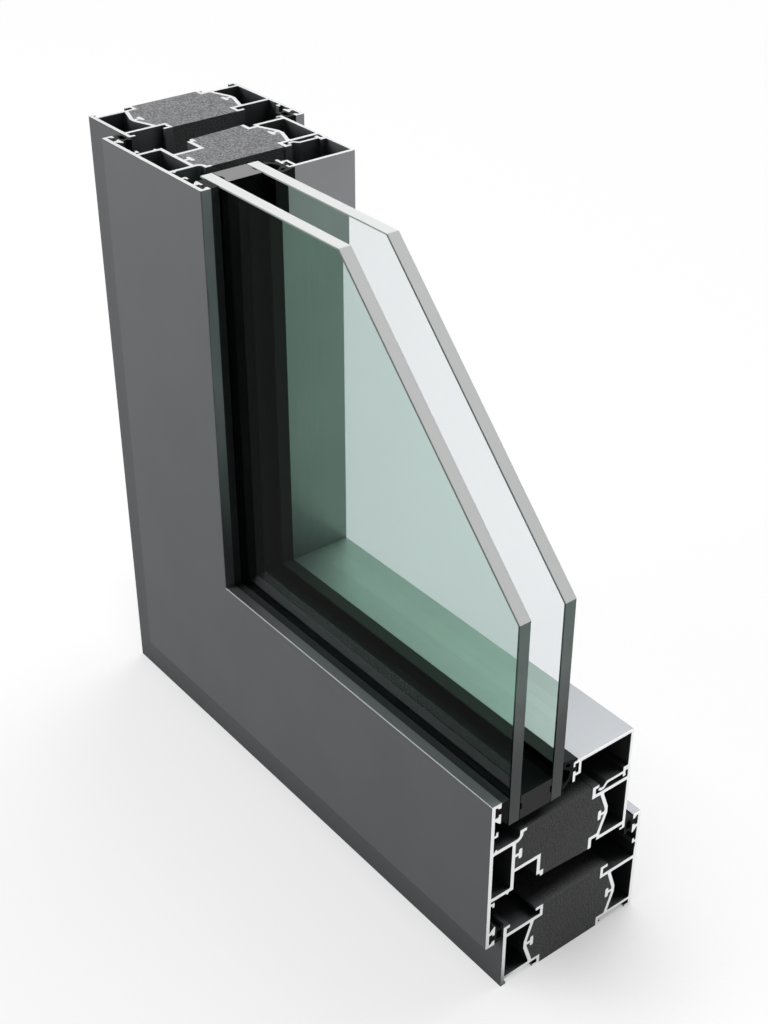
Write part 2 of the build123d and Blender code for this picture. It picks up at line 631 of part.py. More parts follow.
setting_block(JAMB_PLANE.offset(JAMB_HEIGHT - BLOCK_START - BLOCK_LENGTH), "setting_block_stile")

# Outer glazing gasket: a flat bed against the glass on a barbed root
with BuildSketch() as outer_gasket_section:
    anchor(SASH_TOP_EDGE)
    bar(WALL + GROOVE_DEPTH + CLIP_GAP, GLASS_FRONT, SASH_TOP - GROOVE_HEAD_END, SASH_TOP - BED_TOP)
mitred_pair(outer_gasket_section, "outer_gasket_rail", "outer_gasket_stile")

# Wedge gasket between the inner pane and the bead: a hollow crest with a flap on the bead,
# an arm with a pad, and a barbed root
WEDGE_BACK = BEAD_FRONT - CLIP_GAP
WEDGE_FRONT = WEDGE_BACK - WEDGE_ARM
WEDGE_NECK_LOW = POCKET_BASE + POCKET_SILL + CLIP_GAP
WEDGE_NECK_HIGH = SASH_TOP - POCKET_LIP - CLIP_GAP
WEDGE_NECK = (WEDGE_NECK_LOW + WEDGE_NECK_HIGH) / 2
WEDGE_BARB = BEAD_FRONT + POCKET_HOOK + CLIP_GAP
WEDGE_SILL_BARB = BEAD_FRONT + BEAD_WALL + CLIP_GAP
WEDGE_TIP = WEDGE_SILL_BARB + WEDGE_BARB_REACH
WEDGE_FLAP_TIP = BEAD_FRONT + WEDGE_FLAP_REACH
WEDGE_PAD_MIDDLE = (GLASS_BACK + WEDGE_ARM / 2, SASH_TOP - WEDGE_PAD_DROP + WEDGE_PAD / 2)
with BuildSketch() as wedge_section:
    outline(
        (GLASS_BACK, BEAD_TOP - WEDGE_LIP),
        (GLASS_BACK, BEAD_TOP + WEDGE_CREST),
        (WEDGE_FLAP_TIP, BEAD_TOP + WEDGE_FLAP_END),
        (WEDGE_FLAP_TIP, BEAD_TOP + CLIP_GAP),
        (WEDGE_BACK, BEAD_TOP + CLIP_GAP),
        (WEDGE_BACK, WEDGE_NECK_LOW),
        (WEDGE_FRONT, WEDGE_NECK_LOW),
        (WEDGE_FRONT, WEDGE_NECK_HIGH - WEDGE_LIP),
    )
    fillet(wedge_section.vertices(), WEDGE_ROUND)
    with BuildLine() as arm:
        TangentArc((WEDGE_BACK - WEDGE_ARM / 2, WEDGE_NECK), WEDGE_PAD_MIDDLE, tangent=(0, -1))
    trace(arm.line, line_width=WEDGE_ARM)
    with Locations(WEDGE_PAD_MIDDLE):
        RectangleRounded(WEDGE_ARM, WEDGE_PAD, WEDGE_ROUND)
    outline(
        (WEDGE_BACK - WEDGE_ROUND, WEDGE_NECK_LOW),
        (WEDGE_SILL_BARB, WEDGE_NECK_LOW),
        (WEDGE_SILL_BARB, WEDGE_NECK_LOW - WEDGE_LIP),
        (WEDGE_TIP, WEDGE_NECK_LOW + WEDGE_LIP),
        (WEDGE_TIP, WEDGE_NECK_HIGH - WEDGE_LIP),
        (WEDGE_BARB, WEDGE_NECK_HIGH + WEDGE_LIP),
        (WEDGE_BARB, WEDGE_NECK_HIGH),
        (WEDGE_BACK - WEDGE_ROUND, WEDGE_NECK_HIGH),
    )
    with Locations((GLASS_BACK + WEDGE_HOLE_START, BEAD_TOP)):
        SlotOverall(WEDGE_HOLE_LENGTH, WEDGE_HOLE_WIDTH, rotation=-WEDGE_HOLE_TILT, mode=Mode.SUBTRACT)
mitred_pair(wedge_section, "inner_gasket_rail", "inner_gasket_stile")


def bulb(section, edge, reach_end):
    """The hollow bulb of a seal in front of its groove, with two rounded lobes on its inner end."""
    near = GROOVE_DEPTH + CLIP_GAP
    middle = (near + reach_end) / 2
    end = BULB_START + BULB_LENGTH
    ring = [
        (near, BULB_START),
        (reach_end, BULB_START),
        (reach_end, end),
        (reach_end - BULB_WALL, end),
        (middle, end - BULB_NOTCH),
        (near + BULB_WALL, end),
        (near, end),
    ]
    outline(*on_edge(edge, ring))
    fillet(section.vertices(), BULB_ROUND)
    hole_width = reach_end - near - 2 * BULB_WALL
    with Locations(*on_edge(edge, [(middle, BULB_START + BULB_BASE + BULB_HOLE / 2)])):
        RectangleRounded(hole_width, BULB_HOLE, hole_width / 3, mode=Mode.SUBTRACT)


# Seal between the sash's skirt and the frame's face, and seal on the frame's room side
with BuildSketch() as face_seal_section:
    bulb(face_seal_section, SASH_BASE_EDGE, SASH_STEP - SEAL_GAP - WALL)
    anchor(SASH_BASE_EDGE)
mitred_pair(face_seal_section, "face_seal_rail", "face_seal_stile")

with BuildSketch() as room_seal_section:
    bulb(room_seal_section, ROOM_EDGE, SASH_STEP - SEAL_GAP - ROOM_WALL)
    anchor(ROOM_EDGE)
mitred_pair(room_seal_section, "room_seal_sill", "room_seal_jamb")

# Corner cleats, one in each closed chamber
FRAME_CHAMBER_END = FRAME_KINK_DEPTH - WALL / 2
FRAME_CHAMBER_BASE = FRAME_SOLE + SOLE_WALL
cleat(
    SASH_STEP + WALL,
    SASH_STEP + FRAME_CHAMBER_END,
    FRAME_CHAMBER_BASE,
    FRAME_WEB,
    "frame_cleat_outer",
)
cleat(
    FRAME_BACK - FRAME_CHAMBER_END,
    FRAME_BACK - WALL,
    FRAME_CHAMBER_BASE,
    FRAME_WEB,
    "frame_cleat_inner",
)
cleat(WALL, CHAMBER_DEPTH, CHAMBER_BASE + WALL, CHAMBER_WEB, "sash_cleat_outer")
cleat(
    SHELL_KINK_DEPTH + WALL / 2,
    PROFILE_DEPTH - ROOM_WALL,
    SHELL_WEB + WALL,
    PLATFORM_WEB,
    "sash_cleat_inner",
)
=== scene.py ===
"""Looks of an aluminium window's cut corner sample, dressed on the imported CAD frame.

Every size is in metres, in the frame of the CAD: +X runs along the sill from the corner to its sawn end,
+Y from the outdoor face towards the room, and +Z up the jamb to its sawn end.
"""

import logging
import math
from dataclasses import dataclass, field
from enum import Enum

import bpy
import numpy as np
from mathutils import Matrix, Vector


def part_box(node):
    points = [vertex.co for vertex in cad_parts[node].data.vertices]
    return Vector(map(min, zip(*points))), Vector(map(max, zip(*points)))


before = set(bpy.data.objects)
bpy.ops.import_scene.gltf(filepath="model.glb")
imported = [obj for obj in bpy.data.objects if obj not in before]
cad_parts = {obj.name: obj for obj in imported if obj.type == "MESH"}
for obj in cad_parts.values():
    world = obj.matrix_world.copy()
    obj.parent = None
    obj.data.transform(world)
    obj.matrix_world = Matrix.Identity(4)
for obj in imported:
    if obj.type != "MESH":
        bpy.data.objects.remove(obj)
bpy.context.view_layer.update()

LOG = logging.getLogger("window_corner")
SILL_END = float(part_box("frame_sill_outer")[1].x)
JAMB_END = float(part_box("frame_jamb_outer")[1].z)

Socket = bpy.types.NodeSocket
Span = tuple[float, float]
Triple = tuple[float, float, float]
Colour = tuple[float, float, float, float]

# A pattern that is equally fine along X, Y and Z.
UNSTRETCHED: Triple = (1.0, 1.0, 1.0)
# The values of a noise between which a finish changes from one state to the other.
NOISE_SPAN: Span = (0.3, 0.7)


class Arm(Enum):
    """The two arms of the sample, each with the axis that it runs along and the place of its saw cut."""

    SILL = ("X", SILL_END)
    JAMB = ("Z", JAMB_END)


class Pane(Enum):
    """The two panes of the glass unit."""

    OUTER = "outer_pane"
    INNER = "inner_pane"


class Graph:
    """A material's or world's node tree, with short calls for the few kinds of node that are used.

    Attributes:
        CHIPS_PER_METRE: How fine the ragged edge of a saw cut is.
        MASK_FADE: Over what length the mask of a saw cut fades.
    """

    CHIPS_PER_METRE = 700.0
    MASK_FADE = 0.00002

    def __init__(self, tree: bpy.types.NodeTree) -> None:
        """Empties the tree.

        Args:
            tree: The node tree of a material or a world.
        """
        self.tree = tree
        tree.nodes.clear()

    def node(self, kind: str, **settings: object) -> bpy.types.Node:
        """Adds a node.

        Args:
            kind: The node's Blender type.
            settings: Properties of the node itself, such as its operation.

        Returns:
            The new node.
        """
        made = self.tree.nodes.new(kind)
        for name, value in settings.items():
            setattr(made, name, value)
        return made

    def feed(self, socket: Socket, value: object) -> None:
        """Links a socket, or sets its constant.

        Args:
            socket: The input that takes the value.
            value: Another node's output, a number or a tuple.
        """
        if isinstance(value, Socket):
            self.tree.links.new(value, socket)
        else:
            socket.default_value = value

    def math(self, operation: str, first: object, second: object = 0.0,
             clamp: bool = False) -> Socket:
        """Adds a Math node.

        Args:
            operation: The node's operation.
            first: Its first value.
            second: Its second value, where it takes one.
            clamp: Whether the result is held between 0 and 1.

        Returns:
            The node's output.
        """
        made = self.node("ShaderNodeMath", operation=operation, use_clamp=clamp)
        self.feed(made.inputs[0], first)
        self.feed(made.inputs[1], second)
        return made.outputs[0]

    def times(self, first: object, second: object) -> Socket:
        """The product of two numbers."""
        return self.math("MULTIPLY", first, second)

    def rest(self, share: object) -> Socket:
        """What a share leaves of 1."""
        return self.math("SUBTRACT", 1.0, share)

    def split(self, vector: object) -> bpy.types.bpy_prop_collection:
        """The three parts of a vector, named X, Y and Z."""
        made = self.node("ShaderNodeSeparateXYZ")
        self.feed(made.inputs[0], vector)
        return made.outputs

    def ramp(self, value: object, low: float, high: float, start: object = 0.0,
             end: object = 1.0) -> Socket:
        """Adds a smooth step from start to end as the value goes from low to high.

        Args:
            value: The number that is mapped.
            low: Where the step begins.
            high: Where the step is done.
            start: The result at and below low.
            end: The result at and above high.

        Returns:
            The node's output.
        """
        made = self.node("ShaderNodeMapRange", interpolation_type="SMOOTHSTEP")
        wanted = {"Value": value, "From Min": low, "From Max": high, "To Min": start, "To Max": end}
        for name, number in wanted.items():
            self.feed(made.inputs[name], number)
        return made.outputs[0]

    def blend(self, factor: object, first: object, second: object) -> Socket:
        """Mixes two colours. The Mix node's sockets 6 and 7, and its output 2, are those for colours.

        Args:
            factor: 0 gives the first colour, 1 the second.
            first: A colour as a tuple of four, or an output.
            second: The other colour.

        Returns:
            The mixed colour.
        """
        made = self.node("ShaderNodeMix", data_type="RGBA")
        self.feed(made.inputs[0], factor)
        self.feed(made.inputs[6], first)
        self.feed(made.inputs[7], second)
        return made.outputs[2]

    def place(self, stretch: Triple = UNSTRETCHED) -> Socket:
        """Object coordinates, stretched along each axis.

        Args:
            stretch: How much finer a pattern becomes along X, Y and Z.

        Returns:
            The vector for a texture.
        """
        place = self.node("ShaderNodeTexCoord").outputs["Object"]
        if stretch == UNSTRETCHED:
            return place
        made = self.node("ShaderNodeMapping")
        self.feed(made.inputs["Vector"], place)
        made.inputs["Scale"].default_value = stretch
        return made.outputs[0]

    def noise(self, vector: object, scale: float, detail: float = 2.0) -> Socket:
        """Adds a noise texture.

        Args:
            vector: Where the noise is read.
            scale: Lumps per metre, roughly.
            detail: Number of finer layers.

        Returns:
            A number around 0.5.
        """
        made = self.node("ShaderNodeTexNoise")
        self.feed(made.inputs["Vector"], vector)
        made.inputs["Scale"].default_value = scale
        made.inputs["Detail"].default_value = detail
        return made.outputs["Fac"]

    def openness(self, reach: float, rays: int, local: bool = False) -> Socket:
        """How open a place is: 1 with nothing near, 0 deep in a hollow.

        Args:
            reach: How far off a wall still counts.
            rays: Number of directions that are tried.
            local: Whether only walls of the same piece count.

        Returns:
            The share.
        """
        made = self.node("ShaderNodeAmbientOcclusion", samples=rays, only_local=local)
        made.inputs["Distance"].default_value = reach
        return made.outputs["AO"]

    def bump(self, height: object, depth: float) -> Socket:
        """Adds a bump from a height pattern.

        Args:
            height: The pattern, from 0 to 1.
            depth: What a height of 1 is, in metres.

        Returns:
            The normal for a shader.
        """
        made = self.node("ShaderNodeBump")
        made.inputs["Strength"].default_value = 1.0
        made.inputs["Distance"].default_value = depth
        self.feed(made.inputs["Height"], height)
        return made.outputs[0]

    def sawn(self, arm: Arm, width: float = 0.00006, ragged: float = 0.00008) -> Socket:
        """A mask of an arm's sawn end: 1 on the cut and on a ragged hair's breadth behind it, 0 elsewhere.

        Args:
            arm: The arm whose end is sawn.
            width: How far behind the cut the mask still reaches.
            ragged: How much that varies along the edge, by a pattern of chips.

        Returns:
            The mask.
        """
        axis, end = arm.value
        chips = self.times(self.noise(self.place(), self.CHIPS_PER_METRE), ragged)
        along = self.math("ADD", self.split(self.place())[axis], chips)
        edge = end - width
        return self.ramp(along, edge, edge + self.MASK_FADE)


def grey(level: float) -> Colour:
    """A neutral colour of a linear brightness, with full alpha."""
    return (level, level, level, 1.0)


def scaled(colour: Colour, share: float) -> Colour:
    """A colour made darker or lighter.

    Args:
        colour: The colour.
        share: What its brightness is multiplied by.

    Returns:
        The new colour with full alpha.
    """
    red, green, blue = (share * part for part in colour[:3])
    return (red, green, blue, 1.0)


def new_material(name: str) -> tuple[bpy.types.Material, Graph, bpy.types.Node]:
    """Makes a material with one Principled shader.

    Args:
        name: The material's name.

    Returns:
        The material, its graph and the shader.
    """
    made = bpy.data.materials.new(name)
    made.use_nodes = True
    graph = Graph(made.node_tree)
    shader = graph.node("ShaderNodeBsdfPrincipled")
    output = graph.node("ShaderNodeOutputMaterial")
    graph.feed(output.inputs["Surface"], shader.outputs[0])
    return made, graph, shader


@dataclass(frozen=True)
class PowderCoat:
    """Satin metallic grey powder coat on aluminium, sawn to bright metal at the arm's end.

    Attributes:
        name: The material's name.
        coat: Colour of the coat.
        flake: Share of metal flake in it.
        cloudy: What is left of the colour in the middle of a cloud.
        clouds: Clouds of colour and gloss per metre.
        painted_hollow_shade: What is left of the colour where walls stand close about it: painted shade.
        reach: How far off a wall still darkens a surface with that painted shade.
        rays: Number of directions tried for such walls.
        chamber_shade_span: Openness within the piece itself, from full painted shade to none.
        gap_shade_span: Openness among all pieces, from full painted shade to none.
        satin: Roughness of the coat.
        satin_swing: How much the roughness varies either way.
        satin_span: Values of the clouds between which it varies.
        index: Index of refraction of its binder.
        peel: Lumps of its orange peel per metre.
        peel_share: Height of those lumps against the saw marks.
        bare: Colour of the sawn metal.
        sawn_satin: Roughness of the sawn metal.
        saw_marks: Saw marks per metre.
        depth: Depth of lumps and marks.
    """

    name: str = "powder_coat"
    coat: Colour = (0.405, 0.418, 0.438, 1.0)
    flake: float = 0.36
    cloudy: float = 0.93
    clouds: float = 22.0
    painted_hollow_shade: float = 0.35
    reach: float = 0.03
    rays: int = 6
    chamber_shade_span: Span = (0.45, 0.85)
    gap_shade_span: Span = (0.0, 0.8)
    satin: float = 0.32
    satin_swing: float = 0.02
    satin_span: Span = (0.25, 0.75)
    index: float = 1.5
    peel: float = 900.0
    peel_share: float = 0.5
    bare: Colour = (0.78, 0.785, 0.79, 1.0)
    sawn_satin: float = 0.42
    saw_marks: float = 2600.0
    depth: float = 0.00001

    def material(self, arm: Arm) -> bpy.types.Material:
        """Builds the material for one arm.

        Args:
            arm: The arm, which says where the saw cut is.

        Returns:
            The material.
        """
        made, graph, shader = new_material(f"{self.name}_{arm.name.lower()}")
        cut = graph.sawn(arm)
        cloud = graph.noise(graph.place(), self.clouds, 3.0)
        peel = graph.noise(graph.place(), self.peel, 1.0)
        marks = graph.noise(graph.place(), self.saw_marks, 2.0)
        coat = graph.blend(graph.ramp(cloud, *NOISE_SPAN), self.coat, scaled(self.coat, self.cloudy))
        # Painted shade: the coat darkens where walls of the same piece, or of other pieces, stand close
        # about it.
        chamber_shade = graph.ramp(graph.openness(self.reach, self.rays, local=True), *self.chamber_shade_span)
        gap_shade = graph.ramp(graph.openness(self.reach, self.rays), *self.gap_shade_span)
        coat = graph.blend(graph.times(chamber_shade, gap_shade), scaled(self.coat, self.painted_hollow_shade), coat)
        graph.feed(shader.inputs["Base Color"], graph.blend(cut, coat, self.bare))
        graph.feed(shader.inputs["Metallic"], graph.ramp(cut, 0.0, 1.0, self.flake, 1.0))
        satin = graph.ramp(cloud, *self.satin_span, self.satin - self.satin_swing,
                           self.satin + self.satin_swing)
        rough = graph.math("ADD", graph.times(satin, graph.rest(cut)), graph.times(cut, self.sawn_satin))
        graph.feed(shader.inputs["Roughness"], rough)
        shader.inputs["IOR"].default_value = self.index
        height = graph.math("ADD", graph.times(peel, self.peel_share), graph.times(marks, cut))
        graph.feed(shader.inputs["Normal"], graph.bump(height, self.depth))
        return made


@dataclass(frozen=True)
class InsulatingFoam:
    """Dense grey insulating foam with a fine leathery grain.

    Attributes:
        body: Its colour.
        darker: What is left of the colour in the grain's hollows, painted shade of its relief.
        lighter: How many times as bright it is on the grain's lumps, a painted highlight of its relief.
        satin: Roughness of its skin.
        satin_swing: How much the roughness varies either way.
        index: Index of refraction.
        shine: Its specular level.
        grain: Lumps of the grain per metre.
        grain_span: Values of the grain's pattern between which the colour changes.
        finer: How many times as fine the second layer of grain is.
        fine_share: Height of that layer against the first.
        depth: Depth of the grain.
        painted_shading_elsewhere: How much of that painted shading shows elsewhere than on the jamb's sawn
            end, which faces up to the light.
    """

    body: Colour = (0.238, 0.240, 0.246, 1.0)
    darker: float = 0.58
    lighter: float = 1.42
    satin: float = 0.5
    satin_swing: float = 0.06
    index: float = 1.38
    shine: float = 0.15
    grain: float = 1250.0
    grain_span: Span = (0.34, 0.66)
    finer: float = 3.1
    fine_share: float = 0.25
    depth: float = 0.00045
    painted_shading_elsewhere: float = 0.25

    def material(self) -> bpy.types.Material:
        """Builds the material, whose grain is painted shading: a change about the middle between dark and
        light.
        """
        made, graph, shader = new_material("insulating_foam")
        lumps = graph.noise(graph.place(), self.grain, 1.5)
        fine = graph.noise(graph.place(), self.grain * self.finer, 1.0)
        # Painted shading of the grain: full on the jamb's sawn end, which faces up to the light, weaker on
        # every other face.
        share = graph.ramp(graph.sawn(Arm.JAMB), 0.0, 1.0, self.painted_shading_elsewhere, 1.0)
        painted_grain_shading = graph.times(graph.math("SUBTRACT", graph.ramp(lumps, *self.grain_span), 0.5), share)
        body = graph.blend(graph.math("ADD", painted_grain_shading, 0.5), scaled(self.body, self.darker),
                           scaled(self.body, self.lighter))
        graph.feed(shader.inputs["Base Color"], body)
        graph.feed(shader.inputs["Roughness"], graph.ramp(
            fine, *NOISE_SPAN, self.satin - self.satin_swing, self.satin + self.satin_swing))
        shader.inputs["IOR"].default_value = self.index
        shader.inputs["Specular IOR Level"].default_value = self.shine
        height = graph.math("ADD", lumps, graph.times(fine, self.fine_share))
        graph.feed(shader.inputs["Normal"], graph.bump(height, self.depth))
        return made


@dataclass(frozen=True)
class PaneMasks:
    """Numbers from 0 to 1 that say where on a pane a point lies.

    Attributes:
        edge: 1 on the narrow sides, 0 on the two faces, a half on the slanted arrises between them.
        upright: 1 where the surface stands upright.
        level: 1 on the top edge, 0 on the cut across the corner.
        glow_at_corner: 1 at the upright edge's upper corner, 0 some way below it, where the painted glow
            lies.
        low: 0 near the rail, 1 some way above it.
        foot: 1 at the lower end, 0 where the painted dark reflection begins to fade.
    """

    edge: Socket
    upright: Socket
    level: Socket
    glow_at_corner: Socket
    low: Socket
    foot: Socket


@dataclass(frozen=True)
class FloatGlass:
    """Float glass with a slight body colour, polished faces, ground upper edges and clearer upright edges.

    Attributes:
        tint: What colour the pane gives to light that passes it.
        ground: Colour of the ground top edge.
        slanted: Colour of the cut across the corner, ground finer.
        deep: Colour of the upright edge, where one looks along the glass.
        painted_corner_glow: Its colour near its upper corner, a painted glow standing in for light that
            comes down the glass from the ground edge.
        painted_dark_reflection: Its colour near the rail: a painted dark reflection, for there the edge
            mirrors less and less of the floor.
        dark_below: Height under which the edge has that colour.
        dark_fade: Over what height above it that colour fades out.
        foot: Height under which its reflection is nothing but that painted colour.
        foot_share: How much of the clear share is left at the foot.
        corner: Height of the upper corner.
        lit_reach: How far below the corner the painted glow reaches.
        lit_share: How much less light passes into the edge at the corner, where the painted glow shows
            instead.
        clear: Share of light that passes into the ground top edge.
        slanted_clear: Share of light that passes into the cut across the corner.
        upright_clear: Share of light that passes into the upright edge.
        satin: Roughness of the ground edge.
        upright_satin: Roughness of the upright edge.
        index: Index of refraction.
        edge_span: The normal's part along Y, from edge to face.
        arris_span: The same on upright edges, whose arrises belong to the edge.
        upright_span: The normal's part along Z, from upright to slanted.
        level_span: The same, from slanted to level.
        grit: Grains of the ground edge per metre.
        grit_stretch: How much finer the grains are along each axis.
        grit_swing: The share of the roughness in and on the grains.
        depth: Depth of the grains.
    """

    tint: Colour
    ground: Colour = (0.90, 0.915, 0.91, 1.0)
    slanted: Colour = (0.97, 0.99, 0.98, 1.0)
    deep: Colour = (0.55, 0.72, 0.66, 1.0)
    painted_corner_glow: Colour = (0.53, 0.88, 0.78, 1.0)
    painted_dark_reflection: Colour = (0.034, 0.037, 0.038, 1.0)
    dark_below: float = 0.145
    dark_fade: float = 0.0275
    foot: float = 0.112
    foot_share: float = 0.1
    corner: float = 0.184
    lit_reach: float = 0.055
    lit_share: float = 0.45
    clear: float = 0.05
    slanted_clear: float = 0.0
    upright_clear: float = 0.94
    satin: float = 0.5
    upright_satin: float = 0.22
    index: float = 1.5
    edge_span: Span = (0.5, 0.9)
    arris_span: Span = (0.8, 0.95)
    upright_span: Span = (0.2, 0.5)
    level_span: Span = (0.65, 0.95)
    grit: float = 5200.0
    grit_stretch: Triple = (1.0, 0.15, 1.0)
    grit_swing: Span = (0.9, 1.1)
    depth: float = 0.00001

    def masks(self, graph: Graph) -> PaneMasks:
        """Works out the masks from the surface's own normal and from the height.

        Args:
            graph: The material's graph.

        Returns:
            The masks.
        """
        normal = graph.split(graph.node("ShaderNodeTexCoord").outputs["Normal"])
        across = graph.math("ABSOLUTE", normal["Y"])
        rise = graph.math("ABSOLUTE", normal["Z"])
        upright = graph.ramp(rise, *self.upright_span, 1.0, 0.0)
        side = graph.ramp(across, *self.edge_span, 1.0, 0.0)
        arris = graph.times(upright, graph.ramp(across, *self.arris_span, 1.0, 0.0))
        height = graph.split(graph.place())["Z"]
        return PaneMasks(
            edge=graph.math("MAXIMUM", side, arris),
            upright=upright,
            level=graph.ramp(rise, *self.level_span),
            glow_at_corner=graph.ramp(height, self.corner - self.lit_reach, self.corner),
            low=graph.ramp(height, self.dark_below, self.dark_below + self.dark_fade),
            foot=graph.ramp(height, self.foot, self.dark_below, 1.0, 0.0))

    def edge_colour(self, graph: Graph, where: PaneMasks) -> Socket:
        """Colour of the narrow sides: that of the upright edge changes twice on its way up, from a painted
        dark reflection to its own green and then to a painted glow.

        Args:
            graph: The material's graph.
            where: Its masks.

        Returns:
            The colour.
        """
        upper = graph.blend(where.level, self.slanted, self.ground)
        body = graph.blend(where.glow_at_corner, graph.blend(where.low, self.painted_dark_reflection, self.deep), self.painted_corner_glow)
        return graph.blend(where.upright, upper, body)

    def edge_clear(self, graph: Graph, where: PaneMasks) -> Socket:
        """Share of light that passes into the narrow sides.

        An upright edge lets less light in near its upper corner, so that its painted glow shows, standing in
        for light that comes down the glass from the ground edge; near the rail it lets less in too, where
        its painted dark reflection shows.

        Args:
            graph: The material's graph.
            where: Its masks.

        Returns:
            The share.
        """
        foot = graph.ramp(where.low, 0.0, 1.0, self.foot_share, 1.0)
        corner = graph.ramp(where.glow_at_corner, 0.0, 1.0, self.upright_clear, self.upright_clear - self.lit_share)
        upper = graph.ramp(where.level, 0.0, 1.0, self.slanted_clear, self.clear)
        return graph.math("ADD", graph.times(where.upright, graph.times(foot, corner)),
                          graph.times(graph.rest(where.upright), upper))

    def material(self, pane: Pane) -> bpy.types.Material:
        """Builds the material of one pane, whose faces are polished and clear.

        Args:
            pane: The pane, for the material's name.

        Returns:
            The material.
        """
        made, graph, shader = new_material(f"float_glass_{pane.name.lower()}")
        where = self.masks(graph)
        grit = graph.noise(graph.place(self.grit_stretch), self.grit, 2.0)
        graph.feed(shader.inputs["Base Color"], graph.blend(
            where.edge, self.tint, self.edge_colour(graph, where)))
        satin = graph.times(graph.ramp(where.upright, 0.0, 1.0, self.satin, self.upright_satin),
                            graph.ramp(grit, *NOISE_SPAN, *self.grit_swing))
        graph.feed(shader.inputs["Roughness"], graph.times(where.edge, satin))
        graph.feed(shader.inputs["Transmission Weight"], graph.ramp(
            where.edge, 0.0, 1.0, 1.0, self.edge_clear(graph, where)))
        # Near the rail the upright edge turns metallic in a dark colour: a painted dark reflection of the
        # shadowed floor.
        painted_reflection_share = graph.times(graph.times(where.upright, where.edge), where.foot)
        graph.feed(shader.inputs["Metallic"], painted_reflection_share)
        shader.inputs["IOR"].default_value = self.index
        graph.feed(shader.inputs["Normal"], graph.bump(graph.times(grit, where.edge), self.depth))
        return made


@dataclass(frozen=True)
class MouldedBlack:
    """Black rubber or plastic, greyer where it is cut at the arm's end.

    Attributes:
        name: The material's name.
        body: Colour of its skin.
        cut: Colour of its cut end.
        satin: Roughness of its skin.
        satin_swing: How much the roughness varies either way.
        index: Index of refraction.
        shine: Its specular level.
        grain: Lumps of its fine grain per metre.
        lighter: How many times as bright the skin is on those lumps.
        depth: Depth of that grain.
        cut_width: How far behind the cut its colour still reaches.
        cut_ragged: How much that varies.
    """

    name: str
    body: Colour
    cut: Colour
    satin: float = 0.45
    satin_swing: float = 0.05
    index: float = 1.4
    shine: float = 0.5
    grain: float = 2200.0
    lighter: float = 1.3
    depth: float = 0.00002
    cut_width: float = 0.00004
    cut_ragged: float = 0.00002

    def material(self, arm: Arm) -> bpy.types.Material:
        """Builds the material for one arm.

        Args:
            arm: The arm, which says where the cut is.

        Returns:
            The material.
        """
        made, graph, shader = new_material(f"{self.name}_{arm.name.lower()}")
        end = graph.sawn(arm, self.cut_width, self.cut_ragged)
        grain = graph.noise(graph.place(), self.grain, 2.0)
        skin = graph.blend(graph.ramp(grain, *NOISE_SPAN), self.body, scaled(self.body, self.lighter))
        graph.feed(shader.inputs["Base Color"], graph.blend(end, skin, self.cut))
        graph.feed(shader.inputs["Roughness"], graph.ramp(
            grain, *NOISE_SPAN, self.satin - self.satin_swing, self.satin + self.satin_swing))
        shader.inputs["IOR"].default_value = self.index
        shader.inputs["Specular IOR Level"].default_value = self.shine
        graph.feed(shader.inputs["Normal"], graph.bump(grain, self.depth))
        return made


@dataclass(frozen=True)
class MillAluminium:
    """Plain extruded aluminium of the corner cleats, with fine lines drawn along it.

    Attributes:
        metal: Its colour.
        darker: What is left of the colour in the drawn lines.
        satin: Its roughness.
        satin_swing: How much smoother and how much rougher it gets.
        lines: Drawn lines per metre.
        stretch: How much finer the lines are along each axis.
        depth: Depth of the lines.
    """

    metal: Colour = (0.70, 0.71, 0.72, 1.0)
    darker: float = 0.86
    satin: float = 0.38
    satin_swing: Span = (0.06, 0.08)
    lines: float = 160.0
    stretch: Triple = (1.0, 14.0, 1.0)
    depth: float = 0.00002

    def material(self) -> bpy.types.Material:
        """Builds the material."""
        made, graph, shader = new_material("mill_aluminium")
        drawn = graph.noise(graph.place(self.stretch), self.lines, 3.0)
        graph.feed(shader.inputs["Base Color"], graph.blend(
            graph.ramp(drawn, *NOISE_SPAN), self.metal, scaled(self.metal, self.darker)))
        shader.inputs["Metallic"].default_value = 1.0
        smoother, rougher = self.satin_swing
        graph.feed(shader.inputs["Roughness"], graph.ramp(
            drawn, *NOISE_SPAN, self.satin - smoother, self.satin + rougher))
        graph.feed(shader.inputs["Normal"], graph.bump(drawn, self.depth))
        return made


def dress(node: str, material: bpy.types.Material) -> None:
    """Gives a CAD node its finish.

    Args:
        node: The node's name.
        material: The material that replaces its plain one.
    """
    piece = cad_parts[node]
    if not piece.material_slots:
        piece.data.materials.append(material)
    for place in piece.material_slots:
        place.material = material
    LOG.info("%s wears %s", node, material.name)


@dataclass
class ArmPair:
    """A sub-assembly whose pieces come in one length on each arm.

    Attributes:
        sill_nodes: Nodes of the sill's arm.
        jamb_nodes: Nodes of the jamb's arm.
    """

    sill_nodes: tuple[str, ...]
    jamb_nodes: tuple[str, ...]

    def dress_arms(self, finish: PowderCoat | MouldedBlack) -> None:
        """Gives every piece the finish in its own arm's form.

        Args:
            finish: A finish whose material depends on the arm.
        """
        for arm, nodes in ((Arm.SILL, self.sill_nodes), (Arm.JAMB, self.jamb_nodes)):
            material = finish.material(arm)
            for node in nodes:
                dress(node, material)


